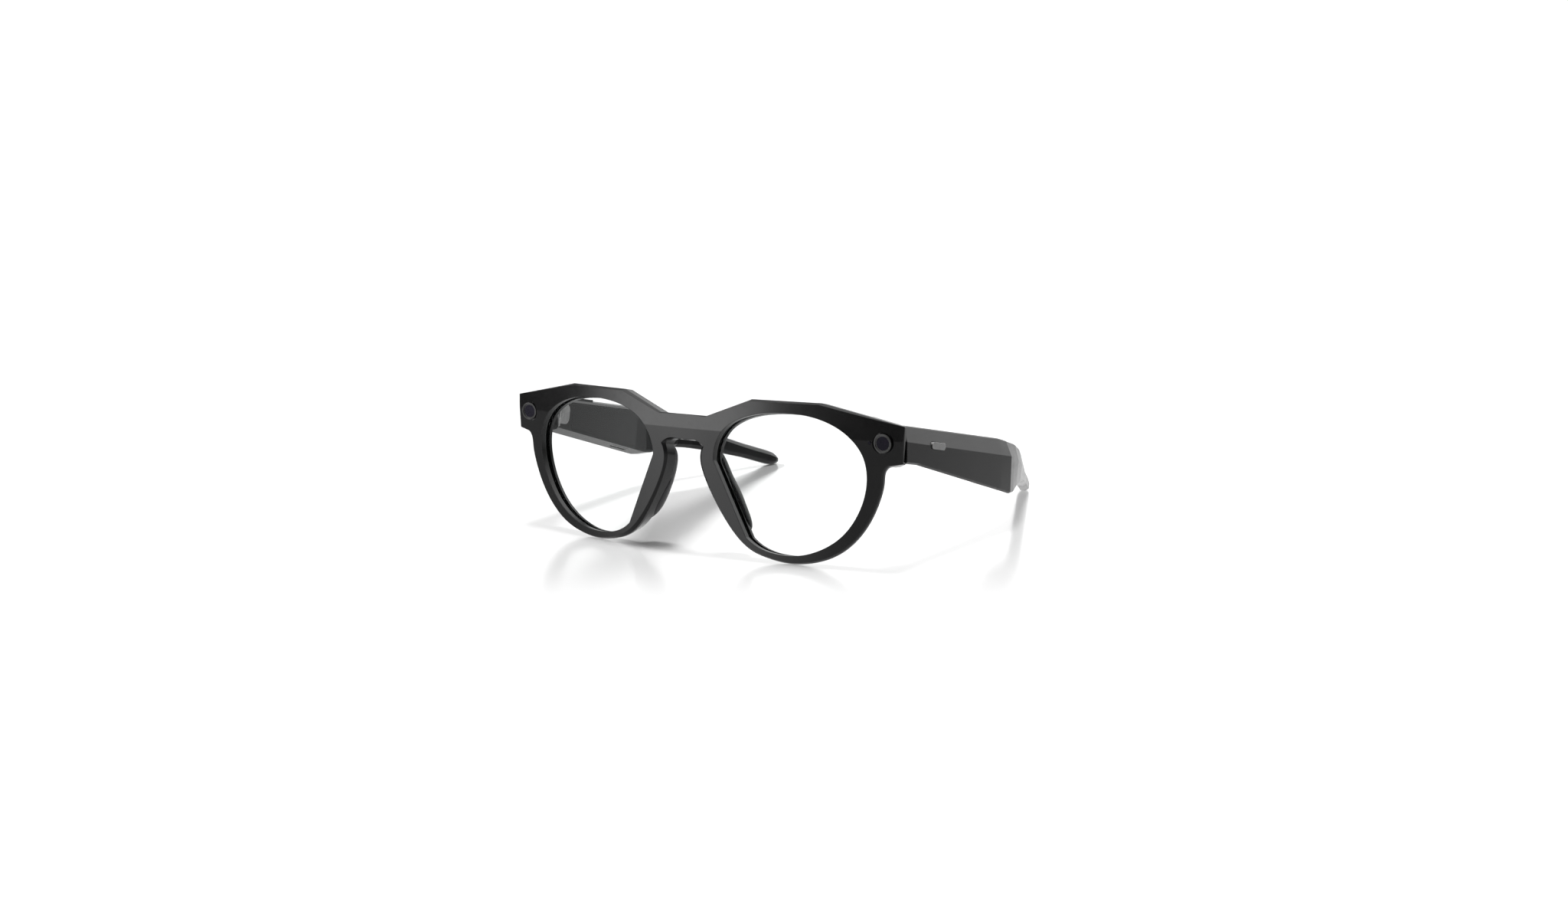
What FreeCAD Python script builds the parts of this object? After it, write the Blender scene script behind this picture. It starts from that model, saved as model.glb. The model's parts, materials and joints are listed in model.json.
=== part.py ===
import FreeCAD, Part
import math
import os

V = FreeCAD.Vector

# Smart glasses, standing on the rim bottoms and the temple tips with the temples open.
# Drawing frame, mm: X to the wearer's left, Y from the front face to the temple tips, Z up.
# save() shifts every piece by ROW_SHIFT, which puts the origin on the table under the middle
# of the bounding box. The temples are drawn in a frame of their own (see stand and splayed).

ROW_SHIFT = V(0, -67.9, -0.52)

# ---- front frame ----
WRAP_RADIUS = 267.0          # plan radius of the front face at the crease
FRONT_Y = -10.4              # front face at the crease, on the centre line
CREASE_Z = 41.8              # the crease that runs round the front
LOWER_LEAN = 0.042           # below the crease the face goes back by this much per mm
UPPER_LEAN = 0.10            # above the crease it goes back by this much per mm
RIM_DEPTH = 5.6              # front to back
RUN_SLOPE = 0.2034           # walls run down towards the back by this much per mm
RIM_PLANE_Y = -11.3          # flat plane close to the wrapped face of one rim
RIM_PLANE_LEAN = 0.143
BEVEL_DEPTH = 1.2            # the front bevel ends this far behind the face
TAPER_START = 2.2            # the rounding-off of the back starts this far behind the face
TAPER_END = 8.2
FRONT_END_X = 73.1           # outer side of the end pieces
END_BACK_Y = 5.0             # flat back of the end pieces
END_INNER_X = 60.5
END_FLOOR_Z = 34.4
MITRE = 3.8                  # size of the mitre between front and temple
SPLIT_GAP = 0.3              # open line between front and temple

# Front silhouette, wearer's left half, x and z on the front face, clockwise from the front.
BROW = [(0, 46.25), (8.6, 46.25), (23.9, 52.5), (46.8, 52.5), (FRONT_END_X, 46.4),
        (72.7, 34.9), (68.4, 34.0)]
RIM = [(68.4, 34.0), (67.0, 32.3), (66.6, 29.0), (65.6, 24.2), (62.9, 17.4), (57.9, 10.0),
       (50.9, 4.4), (43.8, 1.8), (36.6, 1.0), (29.6, 2.0), (23.4, 4.2), (18.4, 8.4),
       (14.5, 13.6), (10.3, 20.8), (7.4, 27.2), (6.2, 32.4), (6.9, 36.2)]
ARCH = [(6.9, 36.2), (6.3, 37.2), (5.3, 37.9), (4.0, 38.15), (0, 38.2)]
LENS_CURVE = [(11.4, 32.3), (11.7, 35.4), (12.9, 38.9), (15.2, 42.3), (19.2, 45.3),
              (25.2, 47.5), (32.0, 48.5), (38.6, 48.6), (45.2, 47.8), (51.6, 45.6),
              (57.0, 42.0), (60.6, 37.0), (61.9, 30.8), (61.2, 24.4), (58.5, 17.4),
              (53.6, 10.8), (46.9, 6.2), (39.8, 3.9), (33.6, 3.7), (27.6, 4.9), (22.2, 8.3)]

# ---- lenses ----
LENS_FRONT = 2.2             # lens front face, behind the lower face of the frame
LENS_THICK = 2.0
LENS_BITE = 0.7              # how far the lens edge sits in its groove
FIT = 0.05                   # fit between fixed pieces

# ---- flat cable along the brow ----
CABLE_RUN = [(0, 43.6), (10.0, 43.6), (24.6, 50.2), (46.4, 50.2), (59.0, 47.2), (65.5, 44.0)]
CHANNEL_DEPTH = 1.5
COVER_THICK = 0.8
CABLE_THICK = 0.3

# ---- camera and light ----
EYE_X = 67.0
EYE_Z = 41.1
EYE_RADIUS = 2.95
EYE_GLASS_RADIUS = 2.15
EYE_FACE_Y = -2.5            # front of the ring
EYE_POCKET_Y = 1.1           # the pocket behind starts here
DOT_X = 62.9
DOT_RADIUS = 0.45

# ---- hinge ----
HINGE = V(64.2, 9.0, 39.2)
RUN_ANGLE = 11.5             # the temples run down to the back by this angle
HINGE_LEAN = 1.5             # each pin leans inward at its top, so a folded tip drops under the
                             # other temple's root
KNUCKLE_RADIUS = 1.7
KNUCKLE_HALF = 4.3           # half the length of the whole barrel
MIDDLE_HALF = 1.5            # half the length of the temple's knuckle
KNUCKLE_GAP = 0.12
PIN_RADIUS = 0.7
PIN_CLEARANCE = 0.04
LEAF_THICK = 0.8
LEAF_X = (60.6, 69.2)
LEAF_Z = (35.2, 45.4)
LEAF_SCREW_X = 61.5
LEAF_SCREW_Z = (36.4, 44.2)

# ---- temple ----
TEMPLE_FRONT_X = 73.15       # outer face where the temple meets the front
TEMPLE_FRONT_S = -8.3
SPLAY_ANGLE = 4.21           # outward lean of the paddle
TEMPLE_THICK = 7.8
PADDLE_END_S = 65.5
REAR_SLANT = 0.163           # the paddle's rear edge leans back towards the bottom
TIP_SPLIT_S = 86.0
INWARD = [(65.5, 0), (69.5, 0.6), (77.0, 1.8), (86.0, 3.9), (94.0, 6.4), (106.5, 10.4),
          (123.0, 15.6), (142.0, 21.1)]   # behind the paddle: s, how far in the side has come
UPPER_FACET_LEAN = 2.2
UNDERSIDE_TUCK = 1.3         # the underside rises by this much towards the inner face
TOP_FALL = 0.6               # the top falls by this much towards the inner face
EDGE = 0.8

# ---- switches ----
BUTTON_S = (17.0, 28.0)
BUTTON_D = (3.5, 6.1)
BUTTON_TOP = 6.2
BUTTON_FOOT = 2.15           # underside of the foot
BUTTON_TRAVEL = 0.4
SWITCH_S = (18.0, 20.6)
SWITCH_H = (-2.9, -0.9)
SWITCH_TRAVEL = 2.0
SLIDE_GAP = 0.15


# ---------------------------------------------------------------- helpers

def save(shape, name):
    """Write one node in the row's frame."""
    shape = shape.copy()
    shape.translate(ROW_SHIFT)
    shape.exportStep("parts/" + name + ".step")


def mirrored(shape):
    """The same piece on the wearer's other side."""
    return shape.mirror(V(0, 0, 0), V(1, 0, 0))


def spline(points):
    curve = Part.BSplineCurve()
    curve.interpolate([V(*p) for p in points])
    return curve.toShape()


def polygon(points):
    return Part.makePolygon([V(*p) for p in points] + [V(*points[0])])


def prism(points, run_vector):
    return Part.Face(polygon(points)).extrude(V(*run_vector))


def box(low, high):
    return Part.makeBox(high[0] - low[0], high[1] - low[1], high[2] - low[2], V(*low))


def rod(radius, start, end):
    start = V(*start)
    end = V(*end)
    return Part.makeCylinder(radius, (end - start).Length, start, end - start)


def joined(shapes):
    return shapes[0].fuse(shapes[1:]).removeSplitter()


def loft(sections):
    return Part.makeLoft([polygon(s) for s in sections], True, True)


def rounded(shape, radius, wanted):
    """Fillet the edges that `wanted` picks."""
    return shape.makeFillet(radius, [e for e in shape.Edges if wanted(e)])


def one_solid(shape):
    return shape.Solids[0] if len(shape.Solids) == 1 else shape


# ---------------------------------------------------------------- front frame

def face_y(x, z):
    """Where the front face is at x, z."""
    lean = LOWER_LEAN * (CREASE_Z - z) if z < CREASE_Z else UPPER_LEAN * (z - CREASE_Z)
    return FRONT_Y + x * x / (2 * WRAP_RADIUS) + lean


def on_plane(x, z, depth):
    """A point of the front face, carried along the run to the plane `depth` behind the rim."""
    y = RIM_PLANE_Y + RIM_PLANE_LEAN * x + depth
    return (x, y, z - RUN_SLOPE * (y - face_y(x, z)))


def run(depth):
    return V(0, depth, -RUN_SLOPE * depth)


def offset_run(points, amounts):
    """An open run of x, z points, each moved to its right-hand side by its own amount."""
    result = []
    last = len(points) - 1
    for i, (x, z) in enumerate(points):
        nx = 0
        nz = 0
        for a, b in ((max(i - 1, 0), max(i, 1)), (min(i, last - 1), min(i + 1, last))):
            dx = points[b][0] - points[a][0]
            dz = points[b][1] - points[a][1]
            length = math.hypot(dx, dz)
            nx += dz / length
            nz -= dx / length
        scale = 2 * amounts[i] / (nx * nx + nz * nz)
        result.append((x + nx * scale, z + nz * scale))
    return result


def bevel_rate(x, z):
    """How steeply the front edge is bevelled: wide on the nose side, narrow elsewhere."""
    if z > 36.5:
        return 0.35
    return 0.3 + 0.7 * min(max((34 - x) / 14, 0), 1)


def back_taper(x, z):
    """How much smaller the outline is at the back: the rims are rounded off behind."""
    if z > 33.5:
        return 0.0
    return 3.2 * min(max((x - 14) / 16, 0), 1)


def half_outline(depth, bevel, taper):
    """The wearer's left half of the front silhouette on the plane at `depth`."""
    points = BROW + RIM[1:] + ARCH[1:]
    amounts = [bevel * bevel_rate(x, z) + taper * back_taper(x, z) for x, z in points]
    moved = offset_run(points, amounts)
    moved[0] = (0, moved[0][1])
    moved[-1] = (0, moved[-1][1])
    where = [on_plane(x, z, depth) for x, z in moved]
    brow_end = len(BROW)
    rim_end = brow_end + len(RIM) - 1
    edges = [Part.makeLine(V(*a), V(*b)) for a, b in zip(where[:brow_end], where[1:brow_end])]
    edges.append(spline(where[brow_end - 1:rim_end]))
    edges.append(spline(where[rim_end - 1:]))
    edges.append(Part.makeLine(V(*where[-1]), V(*where[0])))
    return Part.Wire(edges)


def front_half():
    """Left half, full depth: bevelled in front, straight, then tapered at the back."""
    sections = [half_outline(-4.0, BEVEL_DEPTH + 4.0, 0), half_outline(BEVEL_DEPTH, 0, 0),
                half_outline(TAPER_START, 0, 0), half_outline(TAPER_END, 0, 1)]
    return Part.makeLoft(sections, True, True)


def end_half():
    """Left half run straight back, for the end piece."""
    sections = [half_outline(-4.0, BEVEL_DEPTH + 4.0, 0), half_outline(BEVEL_DEPTH, 0, 0),
                half_outline(16.0, 0, 0)]
    block = box((END_INNER_X, -9, END_FLOOR_Z), (80, END_BACK_Y, 60))
    return Part.makeLoft(sections, True, True).common(block)


def lens_solid(grow):
    """The left lens outline, `grow` mm larger all round, run back through the frame."""
    closed = [LENS_CURVE[-1]] + LENS_CURVE + [LENS_CURVE[0]]
    curve = offset_run(closed, [-grow] * len(closed))[1:-1] if grow else LENS_CURVE
    where = [on_plane(x, z, -4.0) for x, z in curve]
    edges = [spline(where), Part.makeLine(V(*where[-1]), V(*where[0]))]
    return Part.Face(Part.Wire(edges)).extrude(run(30))


def band(front, back, upper_lean=UPPER_LEAN):
    """The wrapped layer between two depths behind the front face."""
    low_z = -8.0
    high_z = 60.0
    low_y = FRONT_Y + LOWER_LEAN * (CREASE_Z - low_z)
    high_y = FRONT_Y + upper_lean * (high_z - CREASE_Z)
    points = [(0, low_y + front, low_z), (0, FRONT_Y + front, CREASE_Z),
              (0, high_y + front, high_z), (0, high_y + back, high_z),
              (0, FRONT_Y + back, CREASE_Z), (0, low_y + back, low_z)]
    centre = V(0, FRONT_Y + WRAP_RADIUS, 0)
    profile = Part.Face(polygon(points))
    profile.rotate(centre, V(0, 0, 1), -19)
    return profile.revolve(centre, V(0, 0, 1), 38)


def mitre_room(back, gap):
    """Corner room in plan: x and y of the mitre line's two ends, `gap` behind the front's."""
    corner = FRONT_END_X + 0.3
    start_y = END_BACK_Y - MITRE + gap * 1.414
    return (corner, start_y), (corner - (back - start_y), back)


def front_room():
    """The room the front may fill at the left end."""
    outer, inner = mitre_room(END_BACK_Y, 0)
    return prism([(-90, -30, -20), (outer[0], -30, -20), (outer[0], outer[1], -20),
                  (inner[0], inner[1], -20), (-90, inner[1], -20)], (0, 0, 90))


def temple_room():
    """The room the left temple may fill: behind the mitre, one open line away."""
    back = END_BACK_Y + 1.2
    outer, inner = mitre_room(back, SPLIT_GAP)
    return prism([(outer[0] + 20, outer[1] - 20, -30), (inner[0], inner[1], -30),
                  (40, back, -30), (40, 220, -30), (outer[0] + 20, 220, -30)], (0, 0, 100))


def cable_strip(half_width):
    """The cable's run along the brow as a strip through the frame, both halves."""
    upper = offset_run(CABLE_RUN, [-half_width] * len(CABLE_RUN))
    lower = offset_run(CABLE_RUN, [half_width] * len(CABLE_RUN))
    upper[0] = (0, upper[0][1])
    lower[0] = (0, lower[0][1])
    where = [on_plane(x, z, -4.0) for x, z in upper + lower[::-1]]
    half = prism(where, run(30))
    return joined([half, mirrored(half)])


def between_ends(shape, reach=END_INNER_X - 0.2):
    return shape.common(box((-reach, -40, -20), (reach, 40, 80)))


def cable_channel():
    open_part = between_ends(cable_strip(1.15).common(band(RIM_DEPTH - CHANNEL_DEPTH, 12)),
                             END_INNER_X)
    tunnel = cable_strip(0.8).common(band(RIM_DEPTH - CHANNEL_DEPTH, RIM_DEPTH - 0.9))
    return open_part.fuse(tunnel)


def eye_bore():
    """Bore, shallow recess and rear pocket for the camera or the light."""
    bore = rod(EYE_RADIUS + FIT, (EYE_X, -9, EYE_Z), (EYE_X, EYE_POCKET_Y + 0.1, EYE_Z))
    recess = rod(EYE_RADIUS + 0.4, (EYE_X, -9, EYE_Z), (EYE_X, EYE_FACE_Y + 0.6, EYE_Z))
    pocket = box((EYE_X - 3.6, EYE_POCKET_Y, EYE_Z - 3.4), (EYE_X + 1.9, 9, EYE_Z + 3.4))
    return joined([bore, recess, pocket])


def leaf_screw_points():
    return [(LEAF_SCREW_X, z) for z in LEAF_SCREW_Z]


def stud_points():
    return [(-2.4, 39.7), (2.4, 39.7)]


def front_frame():
    half = front_half().common(band(0, RIM_DEPTH)).fuse(end_half().common(band(0, 20)))
    half = half.common(front_room())
    half = half.cut([lens_solid(0), lens_solid(LENS_BITE + FIT).common(
        band(LENS_FRONT - FIT, LENS_FRONT + LENS_THICK + FIT, -LOWER_LEAN))])
    half = half.cut([eye_bore()] + [rod(0.6, (x, 2, z), (x, 9, z))
                                    for x, z in leaf_screw_points()])
    whole = half.fuse(mirrored(half)).removeSplitter()
    dot = rod(DOT_RADIUS + FIT, (DOT_X, -9, EYE_Z), (DOT_X, face_y(DOT_X, EYE_Z) + 1.2, EYE_Z))
    studs = [rod(0.9 + FIT, (x, -6.3, z), (x, 0, z)) for x, z in stud_points()]
    return one_solid(whole.cut([cable_channel(), dot] + studs))


def lens():
    """One lens, its edge in the groove."""
    layer = band(LENS_FRONT, LENS_FRONT + LENS_THICK, -LOWER_LEAN)
    return one_solid(lens_solid(LENS_BITE).common(layer))


def brow_cover():
    layer = band(RIM_DEPTH - COVER_THICK, RIM_DEPTH)
    return one_solid(between_ends(cable_strip(1.1).common(layer)))


def brow_cable():
    low = RIM_DEPTH - CHANNEL_DEPTH + FIT
    return one_solid(between_ends(cable_strip(0.7).common(band(low, low + CABLE_THICK)), 63.2))


def eye_ring():
    outer = rod(EYE_RADIUS, (EYE_X, EYE_FACE_Y, EYE_Z), (EYE_X, EYE_POCKET_Y - 0.1, EYE_Z))
    inner = rod(EYE_GLASS_RADIUS, (EYE_X, -9, EYE_Z), (EYE_X, 9, EYE_Z))
    lip = rod(EYE_GLASS_RADIUS + 0.35, (EYE_X, -9, EYE_Z), (EYE_X, EYE_FACE_Y + 0.25, EYE_Z))
    return outer.cut([inner, lip])


def eye_glass():
    return rod(EYE_GLASS_RADIUS - FIT, (EYE_X, EYE_FACE_Y + 0.35, EYE_Z),
               (EYE_X, EYE_FACE_Y + 0.95, EYE_Z))


def camera_barrel():
    """Stepped barrel with a conical mouth that the small front element sits in."""
    body = rod(1.85, (EYE_X, EYE_FACE_Y + 1.15, EYE_Z), (EYE_X, 2.7, EYE_Z))
    mouth = Part.makeCone(1.6, 0.9, 0.9, V(EYE_X, EYE_FACE_Y + 1.15, EYE_Z), V(0, 1, 0))
    bore = rod(0.9, (EYE_X, EYE_FACE_Y + 1.9, EYE_Z), (EYE_X, 1.4, EYE_Z))
    return body.cut([mouth, bore])


def camera_element():
    y = EYE_FACE_Y + 2.15
    drum = rod(0.85, (EYE_X, y, EYE_Z), (EYE_X, y + 0.8, EYE_Z))
    ball = Part.makeSphere(1.1, V(EYE_X, y + 0.9, EYE_Z))
    return drum.common(ball)


def camera_board():
    return box((EYE_X - 3.4, 2.8, EYE_Z - 3.2), (EYE_X + 1.7, 3.6, EYE_Z + 3.2))


def light_board():
    """Board with the light's emitter standing on it, drawn on the left like everything else."""
    board = box((EYE_X - 3.4, 1.4, EYE_Z - 3.2), (EYE_X + 1.7, 2.2, EYE_Z + 3.2))
    emitter = box((EYE_X - 1.2, EYE_FACE_Y + 1.6, EYE_Z - 1.2), (EYE_X + 1.2, 1.5, EYE_Z + 1.2))
    return joined([board, emitter])


def dot_window():
    y = face_y(DOT_X, EYE_Z)
    return rod(DOT_RADIUS, (DOT_X, y - 0.05, EYE_Z), (DOT_X, y + 1.15, EYE_Z))


def charge_studs():
    pins = []
    for x, z in stud_points():
        pins.append(rod(0.9, (x, -6.25, z), (x, -4.5, z)))
    return Part.makeCompound(pins)


def ellipse(x, y, z, half_x, half_y):
    long_axis = V(half_x, 0, 0) if half_x >= half_y else V(0, half_y, 0)
    short_axis = V(0, half_y, 0) if half_x >= half_y else V(half_x, 0, 0)
    centre = V(x, y, z)
    curve = Part.Ellipse(centre + long_axis, centre + short_axis, centre)
    return Part.Wire([curve.toShape()])


def nose_pad():
    """Soft pad on the back of the left rim's nose side, lapping round onto its wall."""
    sections = [(34.4, 8.8, -3.6, 1.2, 0.9), (32.6, 9.0, -3.5, 2.3, 2.2),
                (28.0, 10.1, -3.3, 3.2, 3.4), (21.0, 13.1, -2.9, 3.7, 4.1),
                (14.0, 16.4, -2.4, 3.4, 3.6), (10.8, 18.2, -2.1, 2.6, 2.4),
                (9.2, 19.1, -1.9, 1.4, 1.0)]
    blank = Part.makeLoft([ellipse(x, y, z, a, b) for z, x, y, a, b in sections], True, False)
    behind = front_half().common(band(-6, RIM_DEPTH))
    pad = blank.cut([behind, lens_solid(LENS_BITE + 0.2).common(band(-6, RIM_DEPTH))])
    return max(pad.Solids, key=lambda s: s.Volume)


# ---------------------------------------------------------------- temple frame
# The temple pieces are drawn with s along the temple from the hinge, h up square to it, and
# d inward from the paddle's outer face; tbox and splayed put them in x, s, h of the hinge's
# own frame, and stand turns that frame down by RUN_ANGLE about the hinge.

def stand(shape):
    """From the hinge's frame to the drawing frame."""
    shape = shape.copy()
    shape.rotate(V(0, 0, 0), V(1, 0, 0), -RUN_ANGLE)
    shape.translate(V(0, HINGE.y, HINGE.z))
    return shape


def splayed(shape):
    """From -d, s, h to the hinge's frame: turned outward by the splay."""
    shape = shape.copy()
    shape.translate(V(TEMPLE_FRONT_X, 0, 0))
    shape.rotate(V(TEMPLE_FRONT_X, TEMPLE_FRONT_S, 0), V(0, 0, 1), -SPLAY_ANGLE)
    return shape


def tbox(s, d, h):
    """Box in the temple: s, d and h are low, high pairs."""
    return splayed(box((-d[1], s[0], h[0]), (-d[0], s[1], h[1])))


def tapered(stations):
    """Bar through stations of s, (d low, high), (h low, high)."""
    sections = []
    for s, d, h in stations:
        sections.append([(-d[1], s, h[0]), (-d[0], s, h[0]), (-d[0], s, h[1]),
                         (-d[1], s, h[1])])
    return splayed(loft(sections))


def paddle_x(s):
    return TEMPLE_FRONT_X + math.tan(math.radians(SPLAY_ANGLE)) * (s - TEMPLE_FRONT_S)


def outer_x(s):
    """Outer side of the temple, in the hinge's frame."""
    if s <= PADDLE_END_S:
        return paddle_x(s)
    for (s_a, in_a), (s_b, in_b) in zip(INWARD, INWARD[1:]):
        if s <= s_b:
            break
    share = (s - s_a) / (s_b - s_a)
    return paddle_x(PADDLE_END_S) - in_a - share * (in_b - in_a)


def top_h(s):
    return 5.8 + 0.002 * s


def bottom_h(s):
    return -5.8 if s < 1.2 else -5.8 - 0.0975 * (s - 1.2)


def section(s, thick, top, crease, bottom, lean, tuck, edge):
    """Nine-sided cross-section at s: chamfered edges and the crease on the outer side."""
    out = outer_x(s)
    inn = out - thick
    return [(out - edge, s, bottom), (out, s, bottom + edge * 0.7), (out, s, crease),
            (out - lean, s, top - edge * 0.4), (out - lean - edge * 0.7, s, top),
            (inn + edge, s, top - TOP_FALL), (inn, s, top - TOP_FALL - edge),
            (inn, s, bottom + tuck + edge),
            (inn + edge, s, bottom + tuck)]


def temple_blank():
    """Paddle and tip: s, thickness, top, crease, bottom, facet lean, underside tuck, edge."""
    paddle = (UPPER_FACET_LEAN, UNDERSIDE_TUCK, EDGE)
    rows = [(-14.0, TEMPLE_THICK, top_h(-14), 0.85, -5.8) + paddle,
            (1.2, TEMPLE_THICK, top_h(1.2), 0.75, -5.8) + paddle,
            (59.0, TEMPLE_THICK, top_h(59), 0.4, bottom_h(59)) + paddle,
            (PADDLE_END_S, 8.0, 5.5, 0.35, bottom_h(67.4)) + paddle,
            (69.5, 7.7, 5.2, 0.0, -12.0, 2.0, 1.2, EDGE),
            (77.0, 6.9, 4.9, -0.6, -10.2, 1.9, 0.8, 1.0),
            (TIP_SPLIT_S, 5.7, 3.6, -1.9, -8.2, 1.5, 0.4, 1.2),
            (94.0, 5.0, 1.9, -3.1, -7.8, 1.2, 0.2, 1.3),
            (106.5, 4.7, -0.8, -4.7, -8.2, 1.0, 0.1, 1.3),
            (123.0, 4.6, -3.7, -6.7, -9.5, 1.0, 0, 1.3),
            (136.0, 4.6, -5.5, -8.2, -11.25, 1.0, 0, 1.3),
            (139.2, 4.2, -6.2, -8.5, -11.1, 1.0, 0, 1.3),
            (141.0, 3.0, -7.0, -8.8, -10.6, 0.7, 0, 0.9),
            (141.6, 1.6, -7.8, -8.8, -9.9, 0.3, 0, 0.4)]
    sections = []
    for row in rows:
        s, thick = row[:2]
        narrowing = (4.6 - thick) / 2 if s > 139 else 0
        slant = REAR_SLANT if 62 < s < 72 else 0
        sections.append([(x - narrowing, y - slant * h, h) for x, y, h in section(*row)])
    return loft(sections)


def slab(s_low, s_high):
    """The part of the hinge's frame between two stations."""
    return box((30, s_low, -40), (110, s_high, 40))


def cavity():
    return tapered([(14.0, (1.9, 6.4), (-4.2, 3.0)), (63.0, (1.9, 6.4), (-8.8, 3.0))])


def lid_bar(gap):
    return tapered([(12.5 - gap, (6.3 - gap, 9.0), (-4.9 - gap, 4.0 + gap)),
                    (64.5 + gap, (6.3 - gap, 9.0), (-9.5 - gap, 4.0 + gap))])


def leaf_plate(gap):
    """The plate of the temple's hinge leaf, square in front and round behind."""
    plate = box((-8.0 - gap, 2.6 - gap, -3.5 - gap), (-6.9 + gap, 10.3 + gap, 3.5 + gap))
    plate = rounded(plate, 2.4, lambda e: e.BoundBox.YMin > 10 and e.BoundBox.ZLength < 0.1
                    and e.BoundBox.XLength > 0.5)
    return splayed(plate)


def leaf_arm(gap):
    return leaned(box((HINGE.x, -1.0 - gap, -MIDDLE_HALF - gap),
                      (HINGE.x + 2.9 + gap, 3.6 + gap, MIDDLE_HALF + gap)))


def core_path():
    points = []
    for s, thick, h in ((75.0, 7.4, -5.0), (86.0, 5.6, -3.8), (98.0, 4.9, -4.4),
                        (114.0, 4.7, -5.9), (132.0, 4.6, -7.9)):
        points.append((outer_x(s) - thick / 2, s, h))
    return points


def core_rod(radius):
    points = core_path()
    path = Part.Wire([spline(points)])
    start = V(*points[0])
    ring = Part.Wire([Part.Circle(start, path.Edges[0].tangentAt(0), radius).toShape()])
    return path.makePipeShell([ring], True, False)


def grille_bar(gap):
    rows = []
    for s in (47.0 - gap, 58.0 + gap):
        low = bottom_h(s)
        rows.append((s, (3.2 - gap, 5.2 + gap), (low + 0.75 - gap * 30, low + 1.45)))
    return tapered(rows)


def inlay(gap):
    """Plain slim bar let into the outer face on the crease."""
    bar = box((-0.9 - gap, 8.2 - gap, -0.3 - gap), (0.35, 16.8 + gap, 1.9 + gap))
    bar = rounded(bar, 1.0, lambda e: e.BoundBox.YLength < 0.1 and e.BoundBox.ZLength < 0.1)
    return splayed(bar)


def button_slot():
    g = SLIDE_GAP
    return tbox((BUTTON_S[0] - g, BUTTON_S[1] + g), (BUTTON_D[0] - g, BUTTON_D[1] + g), (2.0, 7))


def switch_slot():
    g = SLIDE_GAP
    return tbox((SWITCH_S[0] - g, SWITCH_S[1] + SWITCH_TRAVEL + g), (5.0, 10.0),
                (SWITCH_H[0] - g, SWITCH_H[1] + g))


def temple_shell(extra_cuts):
    """Outer shell of the temple, up to where the tip starts."""
    blank = stand(temple_blank().common(slab(-20, TIP_SPLIT_S))).common(temple_room())
    knuckle_room = leaned(rod(KNUCKLE_RADIUS + 0.4, (HINGE.x, 0, -5.2), (HINGE.x, 0, 5.2)))
    cuts = [cavity(), lid_bar(FIT), knuckle_room, leaf_plate(FIT), leaf_arm(FIT),
            core_rod(0.75 + FIT), grille_bar(FIT), inlay(FIT)] + extra_cuts
    return one_solid(blank.cut([stand(c) for c in cuts]))


def temple_lid(extra_cuts):
    lid = temple_blank().common(lid_bar(0))
    return one_solid(stand(lid.cut(extra_cuts) if extra_cuts else lid))


def temple_tip():
    return one_solid(stand(temple_blank().common(slab(TIP_SPLIT_S + FIT, 160))
                           .cut(core_rod(0.75 + FIT))))


# ---------------------------------------------------------------- hinge

def leaned(shape):
    """A piece drawn on an upright pin, leaned with the pin."""
    shape = shape.copy()
    shape.rotate(V(HINGE.x, 0, 0), V(0, 1, 0), -HINGE_LEAN)
    return shape


def pin_bore():
    return leaned(rod(PIN_RADIUS + PIN_CLEARANCE, (HINGE.x, 0, -6), (HINGE.x, 0, 6)))


def front_leaf():
    """Plate on the end piece's back with the two outer knuckles."""
    pieces = [box((LEAF_X[0], END_BACK_Y + 0.02, LEAF_Z[0]),
                  (LEAF_X[1], END_BACK_Y + LEAF_THICK, LEAF_Z[1]))]
    behind_plate = box((40, END_BACK_Y + 0.02, 20), (90, 30, 60))
    for side in (-1, 1):
        low, high = sorted((side * (MIDDLE_HALF + KNUCKLE_GAP), side * KNUCKLE_HALF))
        arm = box((HINGE.x - 1.7, -7.0, low), (HINGE.x + 0.6, 0, high))
        knuckle = rod(KNUCKLE_RADIUS, (HINGE.x, 0, low), (HINGE.x, 0, high))
        pieces.append(stand(leaned(joined([arm, knuckle]))).common(behind_plate))
    leaf = joined(pieces)
    holes = [rod(0.65, (x, 2, z), (x, 9, z)) for x, z in leaf_screw_points()]
    return one_solid(leaf.cut([stand(pin_bore())] + holes))


def leaf_screws():
    """Two small slotted screws for one leaf, heads on the plate."""
    plate_back = END_BACK_Y + LEAF_THICK
    screws = []
    for x, z in leaf_screw_points():
        shank = rod(0.55, (x, 2.4, z), (x, plate_back + 0.1, z))
        head = rod(0.8, (x, plate_back, z), (x, plate_back + 0.35, z))
        slot = box((x - 1, plate_back + 0.2, z - 0.12), (x + 1, plate_back + 1, z + 0.12))
        screws.append(shank.fuse(head).removeSplitter().cut(slot))
    return screws


def hinge_pin():
    shank = rod(PIN_RADIUS, (HINGE.x, 0, -KNUCKLE_HALF - 0.1), (HINGE.x, 0, KNUCKLE_HALF + 0.2))
    head = rod(1.25, (HINGE.x, 0, KNUCKLE_HALF), (HINGE.x, 0, KNUCKLE_HALF + 0.5))
    slot = box((HINGE.x - 1.3, -0.15, KNUCKLE_HALF + 0.3), (HINGE.x + 1.3, 0.15, 6))
    return stand(leaned(shank.fuse(head).removeSplitter().cut(slot)))


def temple_leaf():
    """The middle knuckle, its arm and the plate that shows on the temple's inner face."""
    knuckle = rod(KNUCKLE_RADIUS, (HINGE.x, 0, -MIDDLE_HALF), (HINGE.x, 0, MIDDLE_HALF))
    leaf = joined([leaned(knuckle), leaf_arm(0), leaf_plate(0)])
    return one_solid(stand(leaf.cut(pin_bore())))


# ---------------------------------------------------------------- inside the temples

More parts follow.
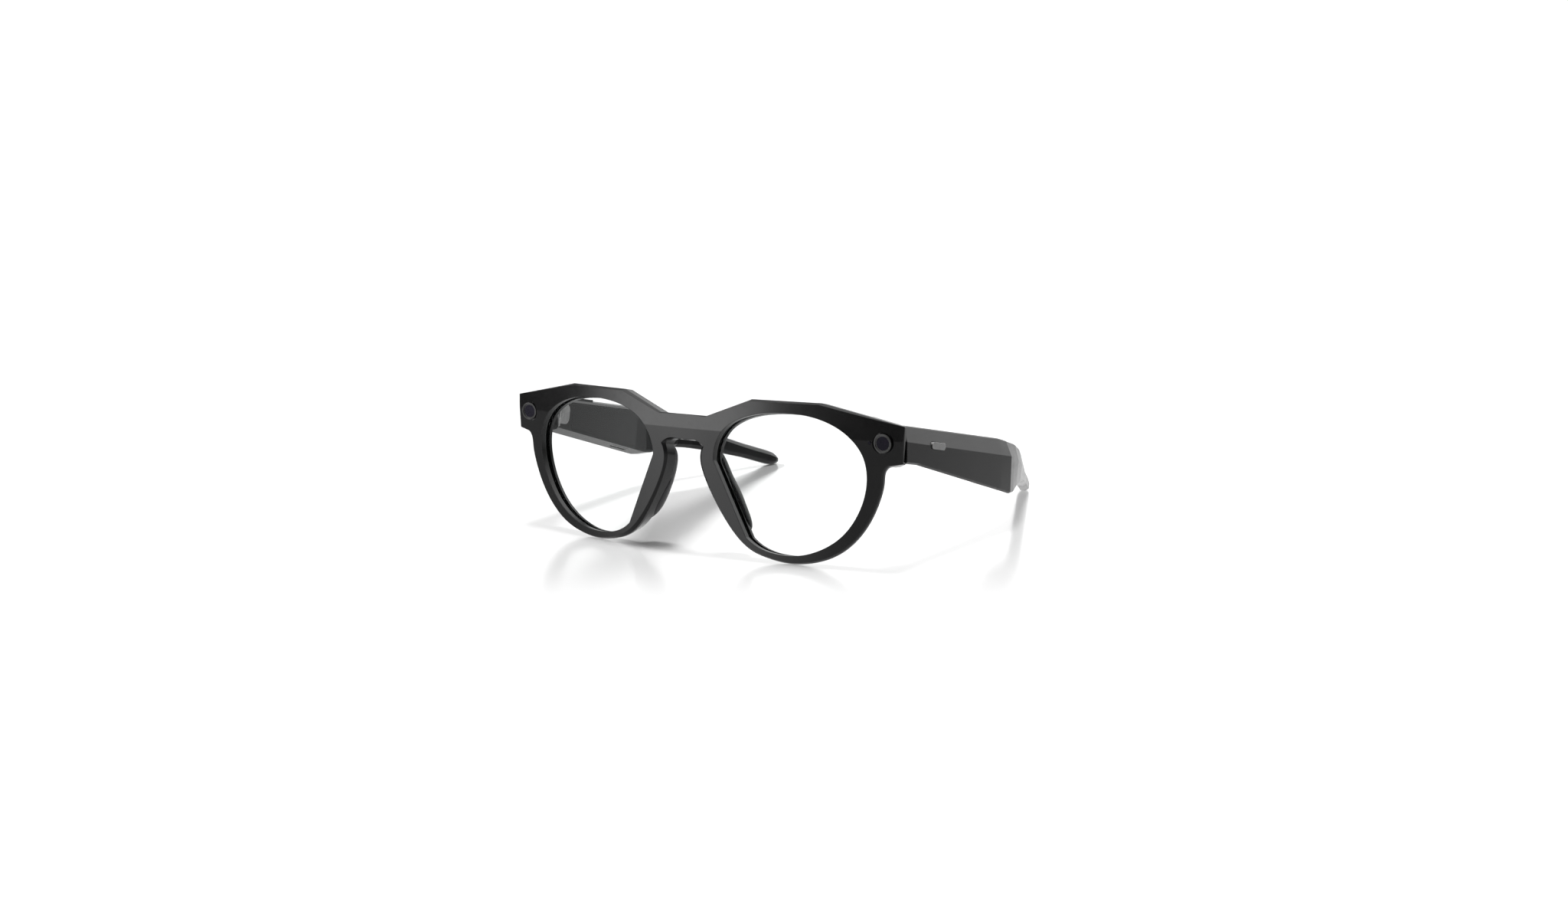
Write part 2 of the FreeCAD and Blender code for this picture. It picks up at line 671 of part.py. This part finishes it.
def battery():
    cell = tbox((30.0, 48.0), (2.1, 5.2), (-5.6, 1.8))
    return stand(cell)


def speaker():
    return stand(tbox((49.0, 61.5), (2.2, 6.0), (-7.4, -1.0)))


def grille():
    return stand(grille_bar(0))


def main_board():
    """Board with two chip packages on it."""
    board = tbox((29.0, 48.0), (2.2, 3.0), (-4.9, 1.9))
    chips = [tbox((31.0, 37.0), (2.9, 4.0), (-3.6, 1.0)), tbox((39.0, 45.5), (2.9, 3.8), (-4, 1))]
    return stand(joined([board] + chips))


def touch_pad():
    return stand(tbox((36.0, 60.0), (1.95, 2.15), (-4.4, 0.4)))


def button():
    """Capture button: a cap through the temple's top, with a wider foot inside."""
    cap = tbox(BUTTON_S, BUTTON_D, (BUTTON_FOOT, BUTTON_TOP))
    foot = tbox((BUTTON_S[0] - 0.9, BUTTON_S[1] + 0.9), BUTTON_D, (BUTTON_FOOT, 2.95))
    return stand(joined([cap, foot]))


def button_dome():
    """Snap dome on a small carrier under the button."""
    carrier = tbox((17.0, 28.0), (3.2, 6.1), (-0.6, 0.2))
    dome = tbox((21.0, 24.0), (3.6, 5.9), (0.1, BUTTON_FOOT - BUTTON_TRAVEL - 0.05))
    return stand(joined([carrier, dome]))


def switch_knob():
    """Power switch: a knob through the lid, with a wider foot inside."""
    knob = tbox(SWITCH_S, (5.6, 8.5), SWITCH_H)
    foot = tbox((SWITCH_S[0] - 1.1, SWITCH_S[1] + 1.1), (5.35, 6.15),
                (SWITCH_H[0] - 0.6, SWITCH_H[1] + 0.6))
    return stand(joined([knob, foot]))


def switch_base():
    return stand(tbox((15.5, 25.6), (3.2, 5.2), (-4.2, 0.6)))


def write_all():
    os.makedirs("parts", exist_ok=True)
    save(front_frame(), "front_frame")
    save(brow_cover(), "brow_cover")
    save(brow_cable(), "brow_cable")
    save(charge_studs(), "charge_contacts")

    for name, piece in (("lens", lens()), ("nose_pad", nose_pad())):
        save(piece, "left_" + name)
        save(mirrored(piece), "right_" + name)

    save(eye_ring(), "camera_ring")
    save(eye_glass(), "camera_glass")
    save(camera_barrel(), "camera_barrel")
    save(camera_element(), "camera_element")
    save(camera_board(), "camera_board")
    save(dot_window(), "sensor_window")
    save(mirrored(eye_ring()), "light_ring")
    save(mirrored(eye_glass()), "light_window")
    save(mirrored(light_board()), "light_board")

    screws = leaf_screws()
    save(Part.makeCompound(screws + [mirrored(s) for s in screws]), "hinge_leaf_screws")

    both_sides = (("front_leaf", front_leaf()), ("hinge_pin", hinge_pin()),
                  ("temple_leaf", temple_leaf()), ("temple_tip", temple_tip()),
                  ("core_wire", stand(core_rod(0.75))), ("speaker", speaker()),
                  ("speaker_grille", grille()), ("temple_inlay", stand(inlay(0))))
    for name, piece in both_sides:
        save(piece, "left_" + name)
        save(mirrored(piece), "right_" + name)

    save(temple_shell([]), "left_temple_shell")
    save(temple_lid([switch_slot()]), "left_temple_cover")
    save(battery(), "left_battery")
    save(switch_knob(), "power_switch")
    save(switch_base(), "power_switch_base")

    save(mirrored(temple_shell([button_slot()])), "right_temple_shell")
    save(mirrored(temple_lid([])), "right_temple_cover")
    save(mirrored(main_board()), "right_main_board")
    save(mirrored(touch_pad()), "right_touch_pad")
    save(mirrored(button()), "capture_button")
    save(mirrored(button_dome()), "capture_button_dome")


write_all()
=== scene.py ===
"""Smart glasses on a pale floor: materials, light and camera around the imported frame."""
import json
import math

import bpy
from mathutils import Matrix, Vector

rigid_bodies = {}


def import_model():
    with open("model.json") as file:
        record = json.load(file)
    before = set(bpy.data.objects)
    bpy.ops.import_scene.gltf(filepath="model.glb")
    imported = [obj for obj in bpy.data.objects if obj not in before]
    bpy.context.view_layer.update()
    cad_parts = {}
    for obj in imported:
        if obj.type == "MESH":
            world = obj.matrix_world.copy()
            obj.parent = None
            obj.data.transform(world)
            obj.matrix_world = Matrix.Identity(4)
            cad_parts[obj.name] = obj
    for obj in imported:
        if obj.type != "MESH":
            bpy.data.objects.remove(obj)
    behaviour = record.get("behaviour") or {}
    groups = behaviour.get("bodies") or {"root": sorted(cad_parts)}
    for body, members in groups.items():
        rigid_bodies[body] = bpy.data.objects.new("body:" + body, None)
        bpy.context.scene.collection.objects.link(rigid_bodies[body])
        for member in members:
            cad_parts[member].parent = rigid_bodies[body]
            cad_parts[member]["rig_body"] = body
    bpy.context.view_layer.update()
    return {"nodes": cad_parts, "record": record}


# Camera: metres, and millimetres for the lens and its film
CAMERA_PLACE = (0.28402, -0.51184, 0.12437)
CAMERA_TARGET = (0.00680, -0.02445, 0.02251)
CAMERA_LENS = 37.96
CAMERA_FILM = 36.0
CAMERA_SEES = (0.01, 50.0)        # nearest and farthest

# Floor, in metres
FLOOR_HALF = 6.0
AHEAD = (-0.49, 0.87, 0.0)        # the way the camera looks, along the floor
SHEEN_FADES = (-0.140, -0.074)    # along AHEAD from the origin: no sheen before, full sheen after
SHEEN_SHARE = 0.36

# What shiny surfaces mirror: everywhere a little, and patches, each with its direction, the
# cosine to it where the patch starts, the cosine where it is full, and its strength there
ROOM_STRENGTH = 0.12
ROOM_PATCHES = {
    "ceiling": ((0.0, 0.0, 1.0), 0.30, 0.95, 1.2),
    "below": ((0.0, 0.0, 1.0), -0.05, -0.25, 0.28),
    "window_in_front": ((-0.566, -0.824, 0.10), 0.940, 0.972, 2.2),
    "glow_under_the_window": ((-0.50, -0.85, -0.15), 0.90, 0.99, 1.1),
    "wall_behind": ((-0.10, 0.98, -0.10), 0.72, 0.97, 0.75),
    "high_behind": ((0.30, 0.85, 0.45), 0.85, 1.0, 0.6),
}
BACKDROP_STRENGTH = 1.1           # the white that the camera sees past the floor

# Where a brushed grain is drawn out: scale of the noise by x, y, z
LENGTHWISE = (1.0, 0.05, 1.0)
UPRIGHT = (1.0, 1.0, 0.3)

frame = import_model()
nodes = frame["nodes"]
slot_of = {row["node"]: row["material_slot"] for row in frame["record"]["subparts"]}


# ---------------------------------------------------------------- node helpers

class Graph:
    """A node tree of a material or a world, with short calls for the nodes used here."""

    def __init__(self, owner, output):
        owner.use_nodes = True
        self.owner = owner
        self.tree = owner.node_tree
        self.tree.nodes.clear()
        self.out = self.add(output)
        self.coords = self.add("ShaderNodeTexCoord").outputs

    def add(self, kind, **settings):
        node = self.tree.nodes.new(kind)
        for key, value in settings.items():
            setattr(node, key, value)
        return node

    def put(self, socket, value):
        """Link an output into a socket, or set the socket's own value."""
        if isinstance(value, bpy.types.NodeSocket):
            self.tree.links.new(value, socket)
        else:
            socket.default_value = value

    def fill(self, node, **inputs):
        """Link or set the node's inputs by name, with _ in place of a space."""
        for key, value in inputs.items():
            self.put(node.inputs[key.replace("_", " ")], value)
        return node

    def place(self, stretch=None):
        """The object's coordinates, scaled by x, y, z if `stretch` is given."""
        here = self.coords["Object"]
        if stretch is None:
            return here
        return self.fill(self.add("ShaderNodeMapping"), Vector=here, Scale=stretch).outputs[0]

    def noise(self, scale, detail=3.0, rough=0.5, stretch=None):
        node = self.fill(self.add("ShaderNodeTexNoise"), Vector=self.place(stretch),
                         Scale=scale, Detail=detail, Roughness=rough)
        return node.outputs["Fac"]

    def cells(self, scale):
        node = self.fill(self.add("ShaderNodeTexVoronoi"), Vector=self.place(), Scale=scale)
        return node.outputs["Distance"]

    def bands(self, scale):
        """Level bands, one above the other."""
        node = self.fill(self.add("ShaderNodeTexWave", wave_type="BANDS", bands_direction="Z"),
                         Vector=self.place(), Scale=scale)
        return node.outputs["Fac"]

    def span(self, value, low, high, to_low=0.0, to_high=1.0):
        """`to_low` where the value is `low` or less, going softly to `to_high` at `high`."""
        node = self.add("ShaderNodeMapRange", interpolation_type="SMOOTHSTEP")
        self.fill(node, Value=value, From_Min=low, From_Max=high, To_Min=to_low, To_Max=to_high)
        return node.outputs["Result"]

    def math(self, operation, a, b):
        node = self.add("ShaderNodeMath", operation=operation)
        self.put(node.inputs[0], a)
        self.put(node.inputs[1], b)
        return node.outputs[0]

    def dot(self, a, b):
        node = self.add("ShaderNodeVectorMath", operation="DOT_PRODUCT")
        self.put(node.inputs[0], a)
        self.put(node.inputs[1], b)
        return node.outputs["Value"]

    def blend(self, share, a, b):
        """Colour a, going to b as share goes to 1."""
        node = self.add("ShaderNodeMix", data_type="RGBA")
        self.put(node.inputs["Factor"], share)
        colours = [s for s in node.inputs if s.type == "RGBA"]
        self.put(colours[0], a)
        self.put(colours[1], b)
        return [s for s in node.outputs if s.type == "RGBA"][0]

    def rounded(self, radius):
        """A normal that rounds sharp edges over `radius` metres."""
        node = self.add("ShaderNodeBevel", samples=6)
        return self.fill(node, Radius=radius).outputs["Normal"]

    def edges(self, radius):
        """1 along sharp edges, 0 on open faces."""
        true = self.add("ShaderNodeNewGeometry").outputs["Normal"]
        turned = self.math("SUBTRACT", 1.0, self.dot(self.rounded(radius), true))
        return self.span(turned, 0.02, 0.16)

    def bump(self, height, depth, strength, normal=None):
        """A normal over relief `depth` metres deep, on top of `normal` if it is given."""
        node = self.fill(self.add("ShaderNodeBump"), Height=height, Distance=depth,
                         Strength=strength)
        if normal is not None:
            self.put(node.inputs["Normal"], normal)
        return node.outputs["Normal"]

    def shader(self, kind, **inputs):
        return self.fill(self.add(kind), **inputs).outputs[0]

    def show(self, shader):
        self.put(self.out.inputs["Surface"], shader)

    def show_principled(self, **inputs):
        self.show(self.shader("ShaderNodeBsdfPrincipled", **inputs))

    def show_mix(self, share, a, b):
        """Show shader a, going to b as share goes to 1."""
        node = self.add("ShaderNodeMixShader")
        for socket, value in zip(node.inputs, (share, a, b)):
            self.put(socket, value)
        self.show(node.outputs[0])


def surface(name):
    """The node tree of a new material."""
    return Graph(bpy.data.materials.new(name), "ShaderNodeOutputMaterial")


def grey(level):
    return (level, level, level, 1.0)


# ---------------------------------------------------------------- materials

def frame_plastic():
    """Black injection-moulded plastic, polished but not a mirror, with handling marks."""
    g = surface("black_plastic_polished")
    cloud = g.noise(55, detail=4, rough=0.55)
    grain = g.noise(5200, detail=2, rough=0.6)
    hairlines = g.noise(900, detail=2, rough=0.4, stretch=(1, 0.06, 1))
    wear = g.math("MULTIPLY", g.edges(0.0005), g.span(g.noise(420, detail=4), 0.35, 0.7))
    colour = g.blend(cloud, (0.0035, 0.0035, 0.0038, 1), (0.0055, 0.0055, 0.0058, 1))
    colour = g.blend(g.math("MULTIPLY", wear, 0.5), colour, (0.030, 0.030, 0.031, 1))
    rough = g.span(cloud, 0.3, 0.7, to_low=0.17, to_high=0.23)
    rough = g.math("ADD", rough, g.math("MULTIPLY", g.span(hairlines, 0.5, 0.75), 0.04))
    rough = g.math("ADD", rough, g.math("MULTIPLY", wear, 0.12))
    relief = g.math("ADD", grain, g.math("MULTIPLY", hairlines, 0.3))
    normal = g.bump(relief, depth=0.000001, strength=0.4, normal=g.rounded(0.00022))
    g.show_principled(Base_Color=colour, Roughness=rough, IOR=1.5, Normal=normal)
    return g.owner


def control_plastic():
    """Satin plastic of the switch and the button, a little lighter along its edges."""
    g = surface("control_plastic_satin")
    grain = g.noise(6500, rough=0.6)
    colour = g.blend(g.noise(300), (0.012, 0.012, 0.013, 1), (0.020, 0.020, 0.021, 1))
    colour = g.blend(g.math("MULTIPLY", g.edges(0.0004), 0.4), colour, grey(0.07))
    rough = g.span(grain, 0.2, 0.8, to_low=0.30, to_high=0.42)
    normal = g.bump(grain, depth=0.000008, strength=0.6, normal=g.rounded(0.00015))
    g.show_principled(Base_Color=colour, Roughness=rough, IOR=1.5, Normal=normal)
    return g.owner


def matte_black():
    """Black plastic with a fine, dull grain."""
    g = surface("black_plastic_matte")
    grain = g.noise(4200, detail=4, rough=0.65)
    rough = g.span(grain, 0.2, 0.8, to_low=0.5, to_high=0.68)
    normal = g.bump(grain, depth=0.00001, strength=0.8, normal=g.rounded(0.0001))
    g.show_principled(Base_Color=g.blend(grain, grey(0.008), grey(0.020)), Roughness=rough,
                      Normal=normal)
    return g.owner


def soft_pad():
    """Soft-touch silicone: fine grain and a little dust in patches."""
    g = surface("silicone_dark")
    grain = g.noise(3600, rough=0.7)
    cloud = g.noise(180)
    dust = g.span(g.noise(1500, detail=4, rough=0.7), 0.6, 0.78)
    colour = g.blend(cloud, (0.020, 0.020, 0.021, 1), (0.031, 0.031, 0.032, 1))
    colour = g.blend(g.math("MULTIPLY", dust, 0.12), colour, grey(0.16))
    rough = g.span(cloud, 0.3, 0.7, to_low=0.42, to_high=0.52)
    normal = g.bump(grain, depth=0.00001, strength=0.6, normal=g.rounded(0.0003))
    g.show_principled(Base_Color=colour, Roughness=rough, IOR=1.43, Sheen_Weight=0.08,
                      Sheen_Roughness=0.5, Normal=normal)
    return g.owner


def metal(name, dark, light, rough, brush, grain_scale=2600, rubbed=0.25):
    """Metal with a grain drawn out by `brush`, and edges `rubbed` towards bright."""
    g = surface(name)
    lines = g.noise(grain_scale, rough=0.55, stretch=brush)
    stain = g.noise(240, detail=4, rough=0.6)
    colour = g.blend(g.span(stain, 0.3, 0.7), dark, light)
    colour = g.blend(g.math("MULTIPLY", g.edges(0.0003), rubbed), colour, (0.92, 0.92, 0.91, 1))
    shine = g.span(lines, 0.25, 0.75, *rough)
    normal = g.bump(lines, depth=0.000005, strength=0.5, normal=g.rounded(0.00012))
    g.show_principled(Base_Color=colour, Metallic=1.0, Roughness=shine, Normal=normal)
    return g.owner


def flex_circuit():
    """Amber film with rows of copper tracks under it."""
    g = surface("flex_film_amber")
    tracks = g.span(g.bands(900), 0.45, 0.6)
    mottle = g.noise(800)
    film = g.blend(mottle, (0.30, 0.12, 0.02, 1), (0.40, 0.18, 0.03, 1))
    colour = g.blend(tracks, film, (0.62, 0.30, 0.10, 1))
    rough = g.span(mottle, 0.3, 0.7, to_low=0.28, to_high=0.4)
    g.show_principled(Base_Color=colour, Roughness=rough,
                      Normal=g.bump(tracks, depth=0.00002, strength=0.6))
    return g.owner


def circuit_board():
    """Green solder mask over laminate, with bare copper spots."""
    g = surface("board_green")
    weave = g.cells(2400)
    spots = g.span(g.cells(620), 0.10, 0.16, to_low=1.0, to_high=0.0)
    mask = g.blend(weave, (0.004, 0.055, 0.022, 1), (0.010, 0.095, 0.040, 1))
    colour = g.blend(spots, mask, (0.75, 0.58, 0.28, 1))
    rough = g.span(weave, 0.0, 0.6, to_low=0.28, to_high=0.42)
    normal = g.bump(weave, depth=0.00001, strength=0.5, normal=g.rounded(0.0001))
    g.show_principled(Base_Color=colour, Metallic=g.math("MULTIPLY", spots, 0.9),
                      Roughness=rough, Normal=normal)
    return g.owner


def pane(name, through, reflex, ior, rough):
    """See-through sheet that mirrors on its outer faces only. rough(g) gives its roughness."""
    g = surface(name)
    clear = g.shader("ShaderNodeBsdfTransparent", Color=through)
    shine = g.shader("ShaderNodeBsdfGlossy", Color=reflex, Roughness=rough(g))
    fresnel = g.fill(g.add("ShaderNodeFresnel"), IOR=ior).outputs[0]
    inside = g.add("ShaderNodeNewGeometry").outputs["Backfacing"]
    g.show_mix(g.math("MULTIPLY", fresnel, g.math("SUBTRACT", 1.0, inside)), clear, shine)
    return g.owner


def smeared(g):
    """Roughness of a window with a few smears."""
    return g.span(g.noise(700), 0.3, 0.8, to_low=0.02, to_high=0.06)


def wiped(g):
    """Roughness of a lens that has been wiped: faint streaks and a few specks of dust."""
    streaks = g.noise(60, stretch=(1, 1, 0.25))
    wipe = g.span(streaks, 0.35, 0.7, to_low=0.015, to_high=0.05)
    dust = g.span(g.noise(2600, detail=2), 0.74, 0.80)
    return g.math("ADD", wipe, g.math("MULTIPLY", dust, 0.2))


def cover_glass():
    """Smoked window over the camera and the light."""
    return pane("window_smoked", through=(0.20, 0.18, 0.23, 1), reflex=(0.17, 0.16, 0.22, 1),
                ior=1.45, rough=smeared)


def lens_clear():
    """Clear coated lens: all but invisible face on, with a thin reflection."""
    return pane("lens_coated_clear", through=(0.985, 0.990, 0.988, 1),
                reflex=(0.24, 0.26, 0.26, 1), ior=1.30, rough=wiped)


def optical_glass():
    """Coated front element: dark, with the magenta and blue reflex of its coating."""
    g = surface("optic_coated")
    swirl = g.noise(900, detail=2)
    facing = g.fill(g.add("ShaderNodeLayerWeight"), Blend=0.35).outputs["Facing"]
    tint = g.blend(facing, (0.32, 0.02, 0.10, 1), (0.02, 0.03, 0.20, 1))
    colour = g.blend(g.span(swirl, 0.3, 0.8, to_low=0.0, to_high=0.35), tint,
                     (0.01, 0.01, 0.02, 1))
    rough = g.span(swirl, 0.2, 0.8, to_low=0.03, to_high=0.09)
    g.show_principled(Base_Color=colour, Metallic=0.35, Roughness=rough, IOR=1.7,
                      Coat_Weight=1.0, Coat_Roughness=0.02)
    return g.owner


finishes = {
    "frame_plastic": frame_plastic(),
    "lens_clear": lens_clear(),
    "soft_pad": soft_pad(),
    "flex_circuit": flex_circuit(),
    "gold_contact": metal("gold_plate", (0.78, 0.52, 0.18, 1), (0.90, 0.66, 0.30, 1),
                          rough=(0.14, 0.26), brush=UPRIGHT),
    "dark_ring": metal("anodised_dark", grey(0.020), grey(0.035), rough=(0.22, 0.34),
                       brush=UPRIGHT, rubbed=0.06),
    "cover_glass": cover_glass(),
    "black_plastic": matte_black(),
    "optical_glass": optical_glass(),
    "circuit_board": circuit_board(),
    "steel": metal("steel_brushed", grey(0.30), grey(0.42), rough=(0.24, 0.40),
                   brush=LENGTHWISE),
    "cell_foil": metal("foil_pouch", grey(0.55), grey(0.70), rough=(0.35, 0.5),
                       brush=UPRIGHT, grain_scale=900),
    "inlay_metal": metal("inlay_brushed", grey(0.36), grey(0.48), rough=(0.26, 0.38),
                         brush=LENGTHWISE, rubbed=0.5),
    "control_plastic": control_plastic(),
}

for name, node in nodes.items():
    node.data.materials.clear()
    node.data.materials.append(finishes[slot_of[name]])


# ---------------------------------------------------------------- floor

def floor_finish():
    """Pale studio floor with a soft sheen that mirrors the glasses a little, and fades out."""
    g = surface("floor_pale")
    cloud = g.noise(6)
    matte = g.shader("ShaderNodeBsdfDiffuse", Color=g.blend(cloud, grey(0.93), grey(0.95)))
    sheen = g.shader("ShaderNodeBsdfGlossy", Color=grey(1.0),
                     Roughness=g.span(cloud, 0.3, 0.7, to_low=0.18, to_high=0.21))
    share = g.span(g.dot(g.place(), AHEAD), *SHEEN_FADES, to_low=0.0, to_high=SHEEN_SHARE)
    g.show_mix(share, matte, sheen)
    return g.owner


def make_floor():
    """A flat square at z 0, which the glasses don't mirror."""
    half = FLOOR_HALF
    mesh = bpy.data.meshes.new("floor")
    corners = [(-half, -half, 0), (half, -half, 0), (half, half, 0), (-half, half, 0)]
    mesh.from_pydata(corners, [], [(0, 1, 2, 3)])
    mesh.materials.append(floor_finish())
    floor = bpy.data.objects.new("floor", mesh)
    bpy.context.scene.collection.objects.link(floor)
    floor.visible_glossy = False
    return floor


floor = make_floor()


# ---------------------------------------------------------------- light

def room():
    """The world: patches that only shiny surfaces mirror, and a white that the camera sees."""
    world = bpy.data.worlds.new("studio")
    world.cycles_visibility.diffuse = False
    bpy.context.scene.world = world
    g = Graph(world, "ShaderNodeOutputWorld")
    total = ROOM_STRENGTH
    for toward, start, full, strength in ROOM_PATCHES.values():
        cosine = g.dot(g.coords["Generated"], Vector(toward).normalized())
        total = g.math("ADD", total, g.span(cosine, start, full, to_low=0.0, to_high=strength))
    mirrored = g.shader("ShaderNodeBackground", Color=grey(1.0), Strength=total)
    seen = g.shader("ShaderNodeBackground", Color=grey(1.0), Strength=BACKDROP_STRENGTH)
    g.show_mix(g.add("ShaderNodeLightPath").outputs["Is Camera Ray"], mirrored, seen)


def group(name, members):
    """A collection used to say what a lamp lights or what casts its shadow."""
    made = bpy.data.collections.new(name)
    for member in members:
        made.objects.link(member)
    return made


def sun(name, toward, strength, spread, mirrored=False):
    """Light that travels along `toward`, spread over some degrees.

    It lights surfaces without a highlight, or with `mirrored` leaves nothing but the highlight.
    """
    data = bpy.data.lights.new(name, "SUN")
    data.energy = strength
    data.angle = math.radians(spread)
    lamp = bpy.data.objects.new(name, data)
    lamp.rotation_euler = Vector(toward).to_track_quat("-Z", "Y").to_euler()
    lamp.visible_diffuse = not mirrored
    lamp.visible_glossy = mirrored
    bpy.context.scene.collection.objects.link(lamp)
    return lamp


def lamps():
    """A soft lamp above, a faint one from all round, and one from the wearer's right.

    Only the right temple and its button cast the shadow of the one from the side.
    """
    down = (0.0, 0.0, -1.0)
    sun("overhead", down, strength=1.45, spread=12)
    sun("room", down, strength=0.15, spread=160)
    side = sun("from_the_side", (1.4, -0.25, -1.0), strength=3.5, spread=7)
    side.light_linking.blocker_collection = group(
        "cast_the_side_shadow",
        [node for node in nodes.values() if node["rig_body"] in ("right_temple", "capture_button")])


def sheen_walls():
    """Bright walls on four sides that only the floor's sheen mirrors, so no side is darker."""
    shiny = group("shines_on_the_floor", [floor])
    x, y = 0.49, -0.86
    for quarter_turn in range(4):
        wall = sun("floor_sheen", (x, y, -0.22), strength=1.6, spread=100, mirrored=True)
        wall.light_linking.receiver_collection = shiny
        x, y = -y, x


room()
lamps()
sheen_walls()

view = bpy.context.scene.view_settings
view.view_transform = "Standard"
view.look = "None"


# ---------------------------------------------------------------- camera

def camera():
    data = bpy.data.cameras.new("camera")
    data.lens = CAMERA_LENS
    data.sensor_width = CAMERA_FILM
    data.clip_start, data.clip_end = CAMERA_SEES
    cam = bpy.data.objects.new("camera", data)
    cam.location = CAMERA_PLACE
    look = Vector(CAMERA_TARGET) - cam.location
    cam.rotation_euler = look.to_track_quat("-Z", "Y").to_euler()
    bpy.context.scene.collection.objects.link(cam)
    bpy.context.scene.camera = cam


camera()
